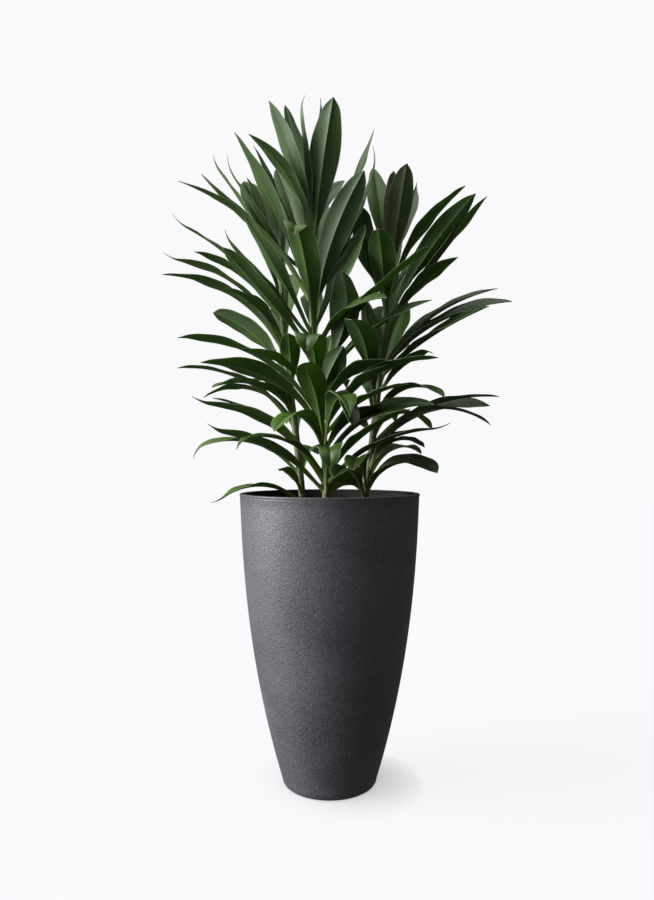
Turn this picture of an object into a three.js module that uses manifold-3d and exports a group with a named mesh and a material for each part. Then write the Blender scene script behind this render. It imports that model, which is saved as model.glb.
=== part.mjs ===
// A potted dracaena: three leafy canes in potting mix, in a tall tapered planter.
// Millimetres, +Z up. The origin is on the planter's axis, at the surface that it stands on.
import * as THREE from "three";
import { mergeVertices } from "three/addons/utils/BufferGeometryUtils.js";
import Module from "manifold-3d";

const wasm = await Module();
wasm.setup();

// Driving dimensions
const PLANTER_HEIGHT = 514;
const MOUTH_RADIUS = 160;
const BASE_RADIUS = 80;
const WALL = 8.5;
const FLOOR_THICKNESS = 12;
const RIM_BEAD_HEIGHT = 4;
const RIM_BEAD_PROUD = 1;
const BASE_ROUNDING = 12;
const BULGE_SHARE = 0.78; // how much of the flare is curved, the rest being a straight taper
const BULGE_POWER = 2.3; // how early the curved share swells
const PLANTER_SIDES = 40;
const PROFILE_STEPS = 8;

const SOIL_DEPTH_BELOW_RIM = 40;
const SOIL_CROWN = 6; // the middle of the soil stands this much above its edge
const FIT_GAP = 0.3;
const SOIL_TO_WALL = 0.6; // clears the wall where its steps are at other heights than the soil's

const CANE_RADIUS = 6.5;
const CANE_TIP_RADIUS = 3;
const CANE_TAPER_POWER = 3; // how late the cane thins towards its tip
const CANE_SIDES = 8;
const CANE_STEPS = 9;

const BLADE_THICKNESS = 0.9;
const PETIOLE_WIDTH = 6;
const PETIOLE_THICKNESS = 3.5;
const EDGE_WAVE = 2.2; // height of the waves along a blade's edge
const TWIST = 12; // degrees, the most that a blade turns about its own rib at the tip
const TWIST_PHASE = 1.7; // from one leaf to the next, in radians
const WAVE_PHASE = 2.1; // from one station to the next, in radians

// Stations along a leaf: share of its length, share of its full width, and how steeply each half of it
// rises from the rib, in degrees. The channel of the petiole opens slowly into the blade.
const LEAF_STATIONS = [
  { along: 0, wide: 0, fold: 50 },
  { along: 0.16, wide: 0.22, fold: 46 },
  { along: 0.33, wide: 0.46, fold: 36 },
  { along: 0.51, wide: 0.84, fold: 20 },
  { along: 0.69, wide: 1, fold: 13 },
  { along: 0.87, wide: 0.62, fold: 12 },
  { along: 1, wide: 0, fold: 12 },
];
const BLADE_START = 0.2;
const ROLLED_BY = 0.4; // a leaf's roll is complete by this share of its length
const TIP_BLUNTNESS = 0.4; // half-width of the very tip, as a share of the petiole's

// Each cane is a hand-chosen path from inside the soil to its growing tip: [x, y, z].
// Each leaf is hand-chosen too: [height on the cane, turn, lift, length, sag, width, roll].
// Turn is the compass direction in degrees: 0 right, 90 back, 180 left, 270 front. Lift is the slope at the
// root and sag how far the leaf bends over by its tip, both in degrees. Roll, where given, tips the blade.
const MIDDLE_CANE = {
  name: "middle_cane",
  path: [
    [-5, -40, 400], [-8, -38, 590], [-18, -34, 660], [-27, -26, 770], [-33, -20, 860], [-30, -15, 945],
  ],
  leaves: [
    [918, 326, 85, 289, 8, 56, -60], [938, 76, 79, 309, 4, 26], [930, 205, 86.3, 288, 3, 30],
    [918, 197, 83.4, 292, 18, 48, 28], [932, 122, 79, 326, 14, 44], [907, 200, 96, 268, 66, 30, 15],
    [848, 205, 70, 312, 14, 38, 12], [880, 150, 70.5, 303, 10, 16], [870, 120, 72, 300, 20, 50, -30],
    [775, 260, 78, 262, 66, 58, -24], [790, 344, 87, 300, 30, 52, -68], [905, 3, 58.6, 278, -16, 36, 18],
    [915, 60, 88, 234, 60, 42], [850, 23, 54.6, 326, -22, 28], [800, 8, 62, 212, -4, 56, 45],
    [830, 62, 65, 260, 28, 38, 25], [722, 335, 40, 195, -70, 58, -50], [740, 326, 80, 193, 90, 50, 35],
    [734, 343, 56, 285, 24, 54, 12], [897, 191, 34, 256, -14, 36, -6], [850, 184, 59, 298, 2, 28],
    [779, 208, 44.5, 243, 0, 32, 4], [755, 214, 45, 242, 5, 40, 15], [638, 194, 62.5, 298, 66, 38],
    [684, 235, 33, 212, 32, 36], [617, 203, 61, 259, 66, 50, 30], [531, 192, 64, 253, 54, 38],
    [526, 198, 63, 287, 64, 48, 6], [514, 207, 48.6, 248, 44, 40, 22], [538, 221, 58, 220, 80, 32],
    [570, 247, 66, 232, 105, 52], [510, 272, 56, 250, 76, 46], [595, 281, 64, 245, 100, 46],
    [660, 264, 72, 240, 90, 52], [600, 258, 62, 200, 45, 48], [689, 342, 60, 258, 46, 48, 24],
    [639, 340, 54, 240, 55, 44], [612, 320, 46, 200, 42, 34], [571, 338, 58, 225, 64, 60, 20],
    [527, 333, 50, 256, 54, 42, 12], [650, 290, 50, 190, 118, 36], [655, 335, 62, 170, 62, 56, -10],
    [590, 330, 58, 142, 50, 54, -10], [851, 192, 64, 312, 47, 36], [543, 325, 52, 205, 36, 56, 15],
    [785, 208, 60.5, 239, 8, 34, 10], [622, 330, 56, 170, 30, 50], [672, 322, 72, 110, 24, 44, -45],
  ],
  rear: { count: 6, lowest: 580, highest: 850, turn: 66, spread: 32 },
};
const LEFT_CANE = {
  name: "left_cane",
  path: [[-40, 35, 400], [-57, 36, 580], [-65, 37, 645], [-76, 38, 735], [-87, 39, 825], [-90, 40, 915]],
  leaves: [
    [896, 169, 70, 284, 20, 34], [880, 145, 81, 245, 26, 60, -42], [886, 147, 80, 240, 20, 36],
    [823, 185, 62.5, 285, 40.5, 30], [825, 194, 59, 206, 44, 36], [779, 182, 68.5, 294, 66, 34],
    [758, 190, 66.6, 284, 67, 42, 12], [782, 226, 56, 166, 48, 44], [714, 173, 67.5, 202, 50, 46, 42],
    [630, 188, 60, 252, 66, 36], [649, 230, 55, 150, 45, 44], [661, 206, 52.5, 172, 77, 50],
    [636, 178, 66, 200, 98, 30], [650, 250, 58, 112, 25, 24], [541, 192, 57, 230, 89, 34],
    [491, 205, 45.5, 189, 90, 32], [509, 250, 48, 116, 44, 24], [680, 270, 64, 158, 40, 36],
  ],
  rear: { count: 8, lowest: 530, highest: 870, turn: 82, spread: 40 },
};
const RIGHT_CANE = {
  name: "right_cane",
  path: [[50, 15, 400], [74, 16, 580], [83, 17, 655], [93, 18, 745], [102, 19, 815], [108, 20, 905]],
  leaves: [
    [883, 338, 83, 226, 4, 48, -60], [889, 69, 84, 224, 6, 32, 20], [875, 105, 80, 275, 16, 48],
    [813, 259, 80, 188, 50, 50], [853, 348, 76, 255, 40, 38, -20], [865, 39, 55, 205, 24, 32],
    [821, 331, 61, 268, 20, 48, -30], [808, 345, 53, 291, 3, 42], [783, 321, 64, 208, 46, 42, -10],
    [708, 53, 72, 198, 25, 50, 25], [730, 1, 59.3, 272, 47, 50, 22], [730, 343, 53, 270, 53, 56, 26],
    [720, 328, 40, 236, 24, 58, 16], [690, 312, 46, 150, 34, 34], [655, 257, 66, 275, 70, 52],
    [623, 312, 74, 204, 112, 46], [586, 11, 50, 256, 58, 46, 20], [598, 350, 48, 250, 54, 36],
    [594, 356, 60, 246, 98, 28], [622, 29, 58, 154, 110, 42], [545, 309, 70.5, 170, 102, 38],
    [497, 326, 78, 184, 115, 60, 26], [500, 255, 44, 238, 64, 50], [516, 262, 48, 240, 74, 42],
    [862, 160, 50, 190, -55, 44, -60], [514, 200, 40, 92, 60, 56, 55],
    [700, 225, 82, 165, 12, 46],
  ],
  rear: { count: 8, lowest: 530, highest: 870, turn: 54, spread: 40 },
};
const CANES = [MIDDLE_CANE, LEFT_CANE, RIGHT_CANE];

// The unseen back of each cane: leaves that climb it by the golden angle, folded into its share of the rear.
const GOLDEN_ANGLE = 137.5;
const REAR_LOW_LEAF = { lift: 54, length: 225, sag: 78, width: 42 };
const REAR_HIGH_LEAF = { lift: 76, length: 270, sag: 28, width: 46 };

const MATERIALS = {
  planter: { color: 0x47474c, roughness: 0.6, metalness: 0 },
  potting_mix: { color: 0x3a2b20, roughness: 0.95, metalness: 0 },
  foliage: { color: 0x3d5a2a, roughness: 0.45, metalness: 0 },
};

function material(name) {
  return new THREE.MeshStandardMaterial(MATERIALS[name]);
}

// Outer radius of the planter at a height above the floor.
function planterRadius(height) {
  const share = height / PLANTER_HEIGHT;
  const curved = 1 - (1 - share) ** BULGE_POWER;
  const flare = (1 - BULGE_SHARE) * share + BULGE_SHARE * curved;
  return BASE_RADIUS + (MOUTH_RADIUS - RIM_BEAD_PROUD - BASE_RADIUS) * flare;
}

function lathe(profile) {
  const geometry = new THREE.LatheGeometry(profile, PLANTER_SIDES);
  geometry.rotateX(Math.PI / 2);
  return geometry;
}

function evenHeights(from, to, steps) {
  return Array.from({ length: steps + 1 }, (_, step) => from + (to - from) * (step / steps));
}

// The planter's profile runs up the outside, over the rim bead and down the inside to the axis.
function planterGeometry() {
  const beadFoot = PLANTER_HEIGHT - RIM_BEAD_HEIGHT;
  const profile = [new THREE.Vector2(0, 0), new THREE.Vector2(BASE_RADIUS - BASE_ROUNDING, 0)];
  for (const height of evenHeights(BASE_ROUNDING, beadFoot, PROFILE_STEPS)) {
    profile.push(new THREE.Vector2(planterRadius(height), height));
  }
  profile.push(new THREE.Vector2(MOUTH_RADIUS, beadFoot + RIM_BEAD_PROUD));
  profile.push(new THREE.Vector2(MOUTH_RADIUS, PLANTER_HEIGHT - RIM_BEAD_PROUD));
  profile.push(new THREE.Vector2(MOUTH_RADIUS - RIM_BEAD_PROUD, PLANTER_HEIGHT));
  profile.push(new THREE.Vector2(planterRadius(PLANTER_HEIGHT) - WALL, PLANTER_HEIGHT));
  for (const height of evenHeights(beadFoot, FLOOR_THICKNESS, PROFILE_STEPS)) {
    profile.push(new THREE.Vector2(planterRadius(height) - WALL, height));
  }
  profile.push(new THREE.Vector2(0, FLOOR_THICKNESS));
  return lathe(profile);
}

function soilGeometry() {
  const edgeHeight = PLANTER_HEIGHT - SOIL_DEPTH_BELOW_RIM;
  const bottom = FLOOR_THICKNESS + FIT_GAP;
  const clear = WALL + SOIL_TO_WALL;
  const profile = [new THREE.Vector2(0, bottom)];
  for (const height of evenHeights(bottom, edgeHeight, PROFILE_STEPS)) {
    profile.push(new THREE.Vector2(planterRadius(height) - clear, height));
  }
  profile.push(new THREE.Vector2(MOUTH_RADIUS / 2, edgeHeight + SOIL_CROWN / 2));
  profile.push(new THREE.Vector2(0, edgeHeight + SOIL_CROWN));
  return lathe(profile);
}

// Joins equal rings of points into one closed body. The second half of each ring takes the other diagonal,
// so that the two faces of a thin blade are split into triangles alike. The ends fan from the second point,
// which sees the whole of a V-shaped section.
function closedLoft(rings) {
  const around = rings[0].length;
  const faces = [];
  for (let ring = 0; ring < rings.length - 1; ring += 1) {
    for (let corner = 0; corner < around; corner += 1) {
      const a = ring * around + corner;
      const b = ring * around + ((corner + 1) % around);
      const c = a + around;
      const d = b + around;
      const split = corner < around / 2 ? [a, b, d, a, d, c] : [a, b, c, b, d, c];
      faces.push(...split);
    }
  }
  const last = (rings.length - 1) * around;
  for (let step = 1; step < around - 1; step += 1) {
    const second = (1 + step) % around;
    const third = (2 + step) % around;
    faces.push(1, third, second);
    faces.push(last + 1, last + second, last + third);
  }
  const geometry = new THREE.BufferGeometry();
  const positions = rings.flat().flatMap((point) => point.toArray());
  geometry.setAttribute("position", new THREE.Float32BufferAttribute(positions, 3));
  geometry.setIndex(faces);
  return geometry;
}

// The point on a cane's axis at a height.
function pointOnCane(cane, height) {
  const upper = Math.max(1, cane.path.findIndex((point) => point[2] >= height));
  const [low, high] = [cane.path[upper - 1], cane.path[upper]];
  const share = (height - low[2]) / (high[2] - low[2]);
  return new THREE.Vector3(...low).lerp(new THREE.Vector3(...high), share);
}

function caneGeometry(cane, extraRadius) {
  const rings = [];
  const [bottom, top] = [cane.path[0][2], cane.path.at(-1)[2]];
  for (let step = 0; step <= CANE_STEPS; step += 1) {
    const share = step / CANE_STEPS;
    const centre = pointOnCane(cane, THREE.MathUtils.lerp(bottom, top, share));
    const thinned = share ** CANE_TAPER_POWER;
    const radius = THREE.MathUtils.lerp(CANE_RADIUS, CANE_TIP_RADIUS, thinned) + extraRadius;
    const below = step === 0 ? extraRadius : 0;
    const ring = [];
    for (let side = 0; side < CANE_SIDES; side += 1) {
      const angle = (2 * Math.PI * side) / CANE_SIDES;
      ring.push(new THREE.Vector3(
        centre.x + radius * Math.cos(angle),
        centre.y + radius * Math.sin(angle),
        centre.z - below,
      ));
    }
    rings.push(ring);
  }
  return closedLoft(rings);
}

// One leaf: a channelled petiole that opens into a V-folded blade with gently waved edges.
function leafGeometry(root, values, index) {
  const [, turn, lift, length, sag, width, roll = 0] = values;
  const heading = THREE.MathUtils.degToRad(turn);
  const outward = new THREE.Vector3(Math.cos(heading), Math.sin(heading), 0);
  const side = new THREE.Vector3(-Math.sin(heading), Math.cos(heading), 0);
  const up = new THREE.Vector3(0, 0, 1);
  const twist = TWIST * Math.sin(index * TWIST_PHASE);
  const centre = root.clone();
  const rings = [];
  let before = 0;
  LEAF_STATIONS.forEach(({ along, wide, fold }, station) => {
    const middle = THREE.MathUtils.degToRad(lift - (sag * (before + along)) / 2);
    centre.addScaledVector(outward, Math.cos(middle) * length * (along - before));
    centre.addScaledVector(up, Math.sin(middle) * length * (along - before));
    before = along;
    const slope = THREE.MathUtils.degToRad(lift - sag * along);
    const normal = outward.clone().multiplyScalar(-Math.sin(slope)).addScaledVector(up, Math.cos(slope));
    const rolled = roll * THREE.MathUtils.smoothstep(along, 0, ROLLED_BY);
    const turned = THREE.MathUtils.degToRad(rolled + twist * along);
    const across = side.clone().multiplyScalar(Math.cos(turned)).addScaledVector(normal, Math.sin(turned));
    const above = normal.clone().multiplyScalar(Math.cos(turned)).addScaledVector(side, -Math.sin(turned));
    const blade = along > BLADE_START;
    const narrowest = (PETIOLE_WIDTH / 2) * (along === 1 ? TIP_BLUNTNESS : 1);
    const half = Math.max(narrowest, (width * wide) / 2);
    const thick = blade ? BLADE_THICKNESS : PETIOLE_THICKNESS;
    const wave = blade ? EDGE_WAVE * Math.sin(index + station * WAVE_PHASE) * wide : 0;
    const at = (sideways, upward) => centre.clone()
      .addScaledVector(across, sideways).addScaledVector(above, upward);
    const reach = half * Math.cos(THREE.MathUtils.degToRad(fold));
    const rise = half * Math.sin(THREE.MathUtils.degToRad(fold));
    rings.push([
      at(reach, rise + wave), at(0, 0), at(-reach, rise - wave),
      at(-reach, rise - wave - thick), at(0, -thick), at(reach, rise + wave - thick),
    ]);
  });
  return closedLoft(rings);
}

// The rear leaves of a cane, lowest first.
function rearLeaves({ count, lowest, highest, turn, spread }) {
  return Array.from({ length: count }, (_, step) => {
    const share = step / (count - 1);
    const value = (name) => THREE.MathUtils.lerp(REAR_LOW_LEAF[name], REAR_HIGH_LEAF[name], share);
    const height = THREE.MathUtils.lerp(lowest, highest, share);
    const heading = turn + ((step * GOLDEN_ANGLE) % spread);
    return [height, heading, value("lift"), value("length"), value("sag"), value("width")];
  });
}

function solidOf(geometry) {
  const bare = geometry.clone();
  bare.deleteAttribute("normal");
  bare.deleteAttribute("uv");
  const merged = mergeVertices(bare);
  return new wasm.Manifold(new wasm.Mesh({
    numProp: 3,
    vertProperties: new Float32Array(merged.attributes.position.array),
    triVerts: new Uint32Array(merged.index.array),
  }));
}

function geometryOf(solid) {
  const { vertProperties, triVerts } = solid.getMesh();
  const geometry = new THREE.BufferGeometry();
  geometry.setAttribute("position", new THREE.BufferAttribute(new Float32Array(vertProperties), 3));
  geometry.setIndex(new THREE.BufferAttribute(new Uint32Array(triVerts), 1));
  geometry.computeVertexNormals();
  return geometry;
}

function leafSolids(cane) {
  const all = [...cane.leaves, ...rearLeaves(cane.rear)];
  return all.map((values, index) => solidOf(leafGeometry(pointOnCane(cane, values[0]), values, index)));
}

// A cane with its leaves grown into one body.
function leafyCane(cane) {
  return leafSolids(cane).reduce((body, leaf) => body.add(leaf), solidOf(caneGeometry(cane, 0)));
}

// The soil with a plain hole round each cane.
function pottingMix() {
  const holes = CANES.map((cane) => solidOf(caneGeometry(cane, FIT_GAP)));
  return holes.reduce((soil, hole) => soil.subtract(hole), solidOf(soilGeometry()));
}

function named(name, geometry, materialName) {
  const mesh = new THREE.Mesh(geometry, material(materialName));
  mesh.name = name;
  return mesh;
}

const group = new THREE.Group();
group.add(named("planter", geometryOf(solidOf(planterGeometry())), "planter"));
group.add(named("potting_mix", geometryOf(pottingMix()), "potting_mix"));
for (const cane of CANES) {
  group.add(named(cane.name, geometryOf(leafyCane(cane)), "foliage"));
}

export default group;
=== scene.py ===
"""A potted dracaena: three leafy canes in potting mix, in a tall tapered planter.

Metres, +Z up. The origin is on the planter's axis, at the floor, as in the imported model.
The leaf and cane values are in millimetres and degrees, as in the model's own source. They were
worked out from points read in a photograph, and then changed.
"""
import logging
import math
import random
from dataclasses import dataclass, field
from enum import Enum
from typing import Iterable, Optional, Sequence

import bmesh
import bpy
from mathutils import Matrix, Vector, noise


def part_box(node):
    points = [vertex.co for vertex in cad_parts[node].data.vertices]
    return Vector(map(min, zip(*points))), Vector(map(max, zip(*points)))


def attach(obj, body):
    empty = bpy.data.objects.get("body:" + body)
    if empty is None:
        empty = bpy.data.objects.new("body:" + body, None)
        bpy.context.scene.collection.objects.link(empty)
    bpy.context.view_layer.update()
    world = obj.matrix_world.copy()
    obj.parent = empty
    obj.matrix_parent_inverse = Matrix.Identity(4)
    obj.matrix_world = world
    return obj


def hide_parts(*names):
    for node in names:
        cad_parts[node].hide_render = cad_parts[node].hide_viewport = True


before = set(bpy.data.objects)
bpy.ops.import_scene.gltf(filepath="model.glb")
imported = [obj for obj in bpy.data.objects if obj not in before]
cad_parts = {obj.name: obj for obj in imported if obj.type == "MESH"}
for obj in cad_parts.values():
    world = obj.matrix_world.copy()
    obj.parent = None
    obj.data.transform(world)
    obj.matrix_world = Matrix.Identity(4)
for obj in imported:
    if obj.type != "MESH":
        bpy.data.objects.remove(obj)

LOG = logging.getLogger("dracaena")
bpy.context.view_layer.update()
BODY = "root"
MM = 0.001

Colour = tuple[float, float, float]
Band = tuple[float, float]
Curve = tuple[Band, ...]


def lerp(low: float, high: float, share: float) -> float:
    """The value at a share of the way from low to high."""
    return low + (high - low) * share


def smoothstep(value: float, low: float, high: float) -> float:
    """0 below low, 1 above high, and a smooth rise between them."""
    share = min(1.0, max(0.0, (value - low) / (high - low)))
    return share * share * (3 - 2 * share)


def smooth_through(stations: Curve, at: float) -> float:
    """Reads a smooth curve that goes through its stations.

    Args:
        stations: (place, value) pairs, in order of their places.
        at: The place to read.

    Returns:
        The curve's value there. The curve turns only at its stations.
    """
    last = len(stations) - 1
    upper = next((i for i in range(1, last) if stations[i][0] >= at), last)
    slopes = [
        (stations[i + 1][1] - stations[i][1]) / (stations[i + 1][0] - stations[i][0])
        for i in range(last)
    ]

    def tangent(index: int) -> float:
        """The curve's slope at a station."""
        if index in (0, last):
            return slopes[min(index, last - 1)]
        before, after = slopes[index - 1], slopes[index]
        return 0.0 if before * after <= 0 else (before + after) / 2

    (x0, y0), (x1, y1) = stations[upper - 1], stations[upper]
    span = x1 - x0
    t = min(1.0, max(0.0, (at - x0) / span))
    rise = y1 - y0
    lift_in, lift_out = tangent(upper - 1) * span, tangent(upper) * span
    a = lift_in + lift_out - 2 * rise
    b = 3 * rise - 2 * lift_in - lift_out
    return ((a * t + b) * t + lift_in) * t + y0


def make_piece(name: str, mesh_source: bmesh.types.BMesh, material: bpy.types.Material,
               replaces: Iterable[str] = ()) -> bpy.types.Object:
    """Turns a finished bmesh into a piece that rides on the object's body.

    Args:
        name: The piece's plain name.
        mesh_source: The bmesh, which is freed.
        material: The finish that the whole piece takes.
        replaces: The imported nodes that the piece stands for.

    Returns:
        The piece, at the origin, unturned and unscaled.
    """
    mesh = bpy.data.meshes.new(name)
    mesh_source.to_mesh(mesh)
    mesh_source.free()
    mesh.materials.append(material)
    piece = bpy.data.objects.new(name, mesh)
    bpy.context.scene.collection.objects.link(piece)
    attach(piece, BODY)
    if replaces:
        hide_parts(*replaces)
    LOG.info("%s: %d faces", name, len(mesh.polygons))
    return piece


def shade(piece: bpy.types.Object, sharp_angle: float) -> None:
    """Shades a piece smooth, but for edges that are sharper than an angle in degrees."""
    piece.data.polygons.foreach_set("use_smooth", [True] * len(piece.data.polygons))
    piece.data.set_sharp_from_angle(angle=math.radians(sharp_angle))


def quarter_turn(steps: int) -> list[tuple[float, float]]:
    """The (sine, cosine) pairs of even steps from 0 to 90 degrees."""
    angles = [math.radians(90 * step / steps) for step in range(steps + 1)]
    return [(math.sin(angle), math.cos(angle)) for angle in angles]


class Bench:
    """The node tree of a material or of the world, with short ways to add and join nodes."""

    def __init__(self, name: str, kind: str = "Material") -> None:
        """Starts a new Material or World whose tree holds only its output."""
        self.owner = (bpy.data.worlds if kind == "World" else bpy.data.materials).new(name)
        self.owner.use_nodes = True
        self.tree = self.owner.node_tree
        self.tree.nodes.clear()
        self.output = self.tree.nodes.new("ShaderNodeOutput" + kind)

    def add(self, kind: str, links: Optional[dict] = None, **settings: object) -> bpy.types.Node:
        """Adds a node.

        Args:
            kind: The node's type.
            links: Input sockets by name or number, each with a socket to join or a plain value.
            settings: The node's own properties.

        Returns:
            The new node.
        """
        made = self.tree.nodes.new(kind)
        for key, value in settings.items():
            setattr(made, key, value)
        for key, value in (links or {}).items():
            self.set(made.inputs[key], value)
        return made

    def set(self, socket: bpy.types.NodeSocket, value: object) -> None:
        """Joins an input to another node's output, or gives it a plain value."""
        if isinstance(value, bpy.types.NodeSocket):
            self.tree.links.new(value, socket)
        elif isinstance(value, tuple) and len(value) == 3 and socket.type == "RGBA":
            socket.default_value = (*value, 1.0)
        else:
            socket.default_value = value

    def math(self, operation: str, *values: object) -> bpy.types.NodeSocket:
        """The result of a sum on one to three sockets or numbers."""
        return self.add("ShaderNodeMath", dict(enumerate(values)), operation=operation).outputs[0]

    def times(self, first: object, second: object, plus: object = 0.0) -> bpy.types.NodeSocket:
        """The product of two, and a third added to it."""
        return self.math("MULTIPLY_ADD", first, second, plus)

    def band(self, value: object, low: float, high: float) -> bpy.types.NodeSocket:
        """A smooth step from 0 at low to 1 at high."""
        made = self.add("ShaderNodeMapRange", {0: value, 1: low, 2: high}, interpolation_type="SMOOTHSTEP")
        return made.outputs[0]

    def blend(self, share: object, first: object, second: object) -> bpy.types.NodeSocket:
        """The colour at a share of the way from the first to the second."""
        made = self.add("ShaderNodeMix", {0: share, 6: first, 7: second}, data_type="RGBA")
        return made.outputs[2]

    def speckle(self, where: object, scale: float, detail: float = 2.0,
                roughness: float = 0.5) -> bpy.types.NodeSocket:
        """Noise of 0 to 1 at a vector."""
        made = self.add("ShaderNodeTexNoise",
                        {"Vector": where, "Scale": scale, "Detail": detail, "Roughness": roughness})
        return made.outputs["Fac"]

    def place(self) -> bpy.types.NodeSocket:
        """The surface point in the object's own frame."""
        return self.add("ShaderNodeTexCoord").outputs["Object"]

    def attribute(self, name: str, output: str = "Fac") -> bpy.types.NodeSocket:
        """A value that the mesh carries."""
        return self.add("ShaderNodeAttribute", attribute_name=name).outputs[output]

    def bump(self, height: object, strength: float, distance: float,
             normal: object = None) -> bpy.types.NodeSocket:
        """A normal that is tipped by a height, over another normal if one is given."""
        links = {"Height": height, "Strength": strength, "Distance": distance}
        if normal is not None:
            links["Normal"] = normal
        return self.add("ShaderNodeBump", links).outputs["Normal"]

    def finish(self, shader: bpy.types.NodeSocket) -> bpy.types.ID:
        """Joins the last shader to the output.

        Returns:
            The material or the world.
        """
        self.tree.links.new(shader, self.output.inputs["Surface"])
        return self.owner


@dataclass(frozen=True)
class GrainedComposite:
    """Charcoal moulded stone-and-resin composite with a fine sandy grain.

    Attributes:
        lip_height: Height above which the lip is smooth.
        dark, light: The two ends of its mottled colour.
        lip: Its colour on the smooth lip.
        inside_shade: Its colour on the inside, where the mesh's "inside" value is 1: a darker colour that is
            painted shade in the planter's hollow.
        lip_fade: Height over which the grain fades out below the lip, in metres.
        grain: Size of one grain, in metres.
        grain_share: The grains' part in the mottle. Soft clouds make the rest.
        pit_depth: Depth of the grain's relief, in metres.
        roughness, gloss: On the lip, what the wall adds to that, and what the inside adds.
    """

    lip_height: float
    dark: Colour = (0.022, 0.022, 0.027)
    light: Colour = (0.070, 0.068, 0.079)
    lip: Colour = (0.05, 0.05, 0.056)
    inside_shade: Colour = (0.016, 0.015, 0.014)
    lip_fade: float = 0.003
    grain: float = 0.0024
    grain_share: float = 0.7
    pit_depth: float = 0.0009
    roughness: tuple[float, float, float] = (0.45, 0.05, 0.45)
    gloss: tuple[float, float, float] = (0.35, 0.25, -0.5)

    def material(self) -> bpy.types.Material:
        """Makes the finish.

        Returns:
            The material.
        """
        bench = Bench("charcoal composite")
        place = bench.place()
        cloud = bench.speckle(place, 9, 4)
        grains = bench.speckle(place, 1 / self.grain, 2, 0.6)
        pits = bench.speckle(place, 0.55 / self.grain, 1)
        height = bench.add("ShaderNodeSeparateXYZ", {0: place}).outputs["Z"]
        lip = bench.band(height, self.lip_height - self.lip_fade, self.lip_height)
        rough_part = bench.math("SUBTRACT", 1.0, lip)
        inside = bench.attribute("inside")

        def by_place(on_lip: float, wall_adds: float, inside_adds: float) -> bpy.types.NodeSocket:
            """A value that differs between the lip, the wall and the inside."""
            outside = bench.times(rough_part, wall_adds, on_lip)
            return bench.times(inside, inside_adds, outside)

        tone = bench.times(grains, self.grain_share, bench.times(cloud, 1 - self.grain_share))
        colour = bench.blend(bench.band(tone, 0.34, 0.66), self.dark, self.light)
        # Painted shade: the inside wall takes a darker colour where the mesh's "inside" value is 1.
        colour = bench.blend(inside, bench.blend(lip, colour, self.lip), self.inside_shade)
        relief = bench.times(pits, 0.6, grains)
        normal = bench.bump(bench.times(relief, rough_part), 0.6, self.pit_depth)
        shader = bench.add("ShaderNodeBsdfPrincipled",
                           {"Base Color": colour, "Roughness": by_place(*self.roughness),
                            "Normal": normal, "Specular IOR Level": by_place(*self.gloss)})
        return bench.finish(shader.outputs[0])


@dataclass(frozen=True)
class SoilFinish:
    """Damp bark and peat, from near black to red brown.

    Attributes:
        name: The material's name.
        dark, light: The two ends of its colour.
        crumb: Size of its crumbs, in metres.
    """

    name: str
    dark: Colour
    light: Colour
    crumb: float

    def material(self) -> bpy.types.Material:
        """Makes the finish, tinted by each crumb's own tone.

        Returns:
            The material.
        """
        bench = Bench(self.name)
        place = bench.place()
        crumbs = bench.speckle(place, 1 / self.crumb, 4, 0.65)
        tone = bench.times(bench.attribute("tone"), 0.7, bench.times(crumbs, 0.5))
        colour = bench.blend(bench.band(tone, 0.15, 0.95), self.dark, self.light)
        normal = bench.bump(crumbs, 0.8, self.crumb * 0.5)
        shader = bench.add("ShaderNodeBsdfPrincipled",
                           {"Base Color": colour, "Roughness": 0.93, "Normal": normal})
        return bench.finish(shader.outputs[0])


@dataclass(frozen=True)
class CaneBark:
    """The cane's skin: green above, browner below, with pinkish brown leaf scars."""

    green: Colour = (0.070, 0.130, 0.026)
    brown: Colour = (0.052, 0.058, 0.026)
    scar: Colour = (0.130, 0.095, 0.055)
    green_above: float = 0.78
    brown_below: float = 0.44

    def material(self) -> bpy.types.Material:
        """Makes the finish.

        Returns:
            The material.
        """
        bench = Bench("cane bark")
        place = bench.place()
        height = bench.add("ShaderNodeSeparateXYZ", {0: place}).outputs["Z"]
        streak_place = bench.add("ShaderNodeMapping", {"Vector": place, "Scale": (900.0, 900.0, 60.0)})
        streaks = bench.speckle(streak_place.outputs[0], 1, 3)
        age = bench.band(height, self.green_above, self.brown_below)
        worn = bench.times(streaks, 0.5, bench.times(age, 0.75))
        skin = bench.blend(worn, self.green, self.brown)
        colour = bench.blend(bench.attribute("scar"), skin, self.scar)
        normal = bench.bump(streaks, 0.5, 0.0006)
        shader = bench.add("ShaderNodeBsdfPrincipled",
                           {"Base Color": colour, "Roughness": 0.55, "Normal": normal})
        return bench.finish(shader.outputs[0])


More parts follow.
